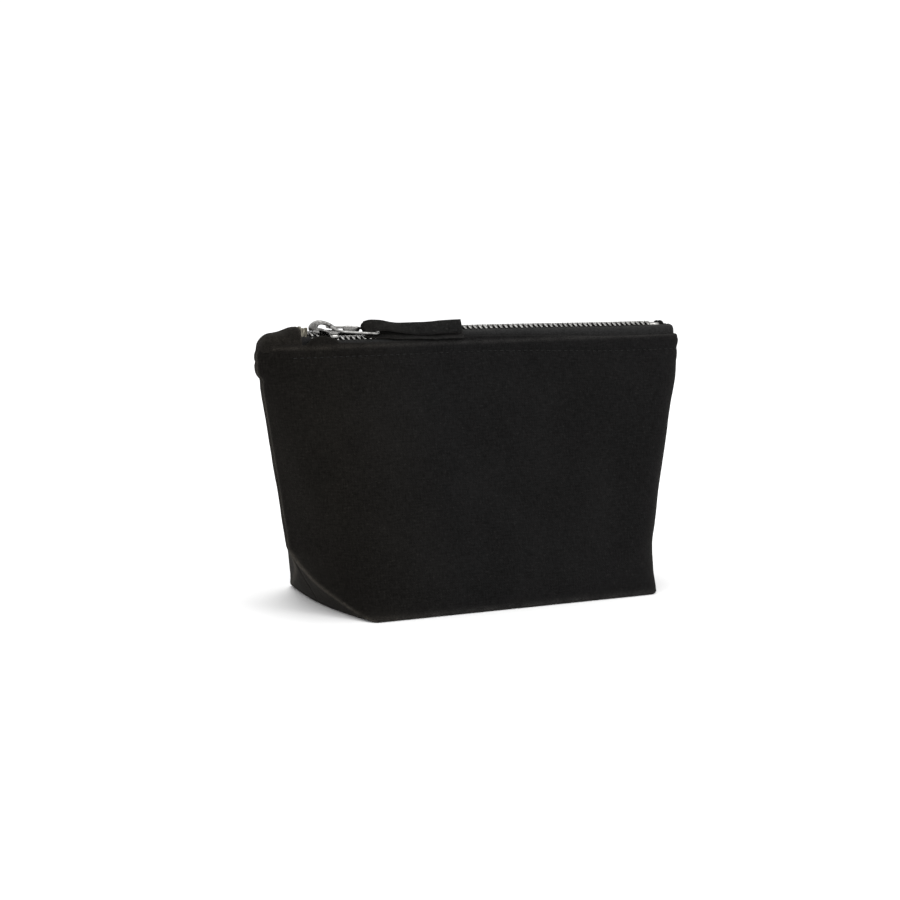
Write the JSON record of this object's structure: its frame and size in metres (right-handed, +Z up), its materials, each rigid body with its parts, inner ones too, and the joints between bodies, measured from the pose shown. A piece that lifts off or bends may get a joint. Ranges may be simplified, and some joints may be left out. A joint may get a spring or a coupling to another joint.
{
  "type": "toiletry bag",
  "caption": "Small canvas shaving kit bag with a boxed flat base, a straight metal zip across the top, and a fabric pull tab on a ring.",
  "frame": {"origin": "middle of the base where it stands on the floor", "axes": "+X along the zip from the slider's end to the closed end, -Y is the front, +Z up"},
  "size_m": [0.205, 0.085, 0.1193],
  "materials": {
    "canvas": "washed black cotton canvas, matt, faint woven grain, folds rubbed lighter",
    "binding": "black cotton tape over the seam allowances",
    "zip_tape": "charcoal woven zip tape",
    "zip_metal": "antique nickel plate, tumbled, semi gloss"
  },
  "bodies": {
    "root": {"base_front": "canvas", "base_back": "canvas", "left_side_front": "canvas", "left_side_back": "canvas", "right_side_front": "canvas", "right_side_back": "canvas", "left_seam_binding": "binding", "right_seam_binding": "binding", "left_corner_binding": "binding", "right_corner_binding": "binding", "bottom_seam_binding": "binding", "front_top_stop": "zip_metal", "back_top_stop": "zip_metal", "bottom_stop": "zip_metal", "zip_end_tab": "canvas"},
    "front_wall": {"front_panel": "canvas", "front_hem": "canvas", "front_tape": "zip_tape", "front_teeth": "zip_metal"},
    "back_wall": {"back_panel": "canvas", "back_hem": "canvas", "back_tape": "zip_tape", "back_teeth": "zip_metal"},
    "slider": {"slider_body": "zip_metal", "slider_bridge": "zip_metal"},
    "pull": {"pull_ring": "zip_metal"},
    "tab": {"pull_tab": "canvas"}
  },
  "joints": [
    {"name": "slider_slide", "type": "slide", "parent": "root", "child": "slider", "axis": [1, 0, 0], "range_m": [0, 0.1475], "deforming": ["front_teeth", "back_teeth", "front_tape", "back_tape"]},
    {"name": "front_mouth", "type": "hinge", "parent": "root", "child": "front_wall", "pos_m": [0, -0.04212, 0.0012], "axis": [1, 0, 0], "range_deg": [0, 12]},
    {"name": "back_mouth", "type": "hinge", "parent": "root", "child": "back_wall", "pos_m": [0, 0.04212, 0.0012], "axis": [-1, 0, 0], "range_deg": [0, 12]},
    {"name": "pull_swing", "type": "hinge", "parent": "slider", "child": "pull", "pos_m": [-0.069, 0, 0.1169], "axis": [0, -1, 0], "range_deg": [0, 150]},
    {"name": "tab_swing", "type": "hinge", "parent": "pull", "child": "tab", "pos_m": [-0.047, 0, 0.116], "axis": [0, -1, 0], "range_deg": [0, 60]}
  ],
  "couplings": [
    {"joint": "front_mouth", "follows": "slider_slide", "rad_per_m": 1.4199},
    {"joint": "back_mouth", "follows": "slider_slide", "rad_per_m": 1.4199}
  ]
}
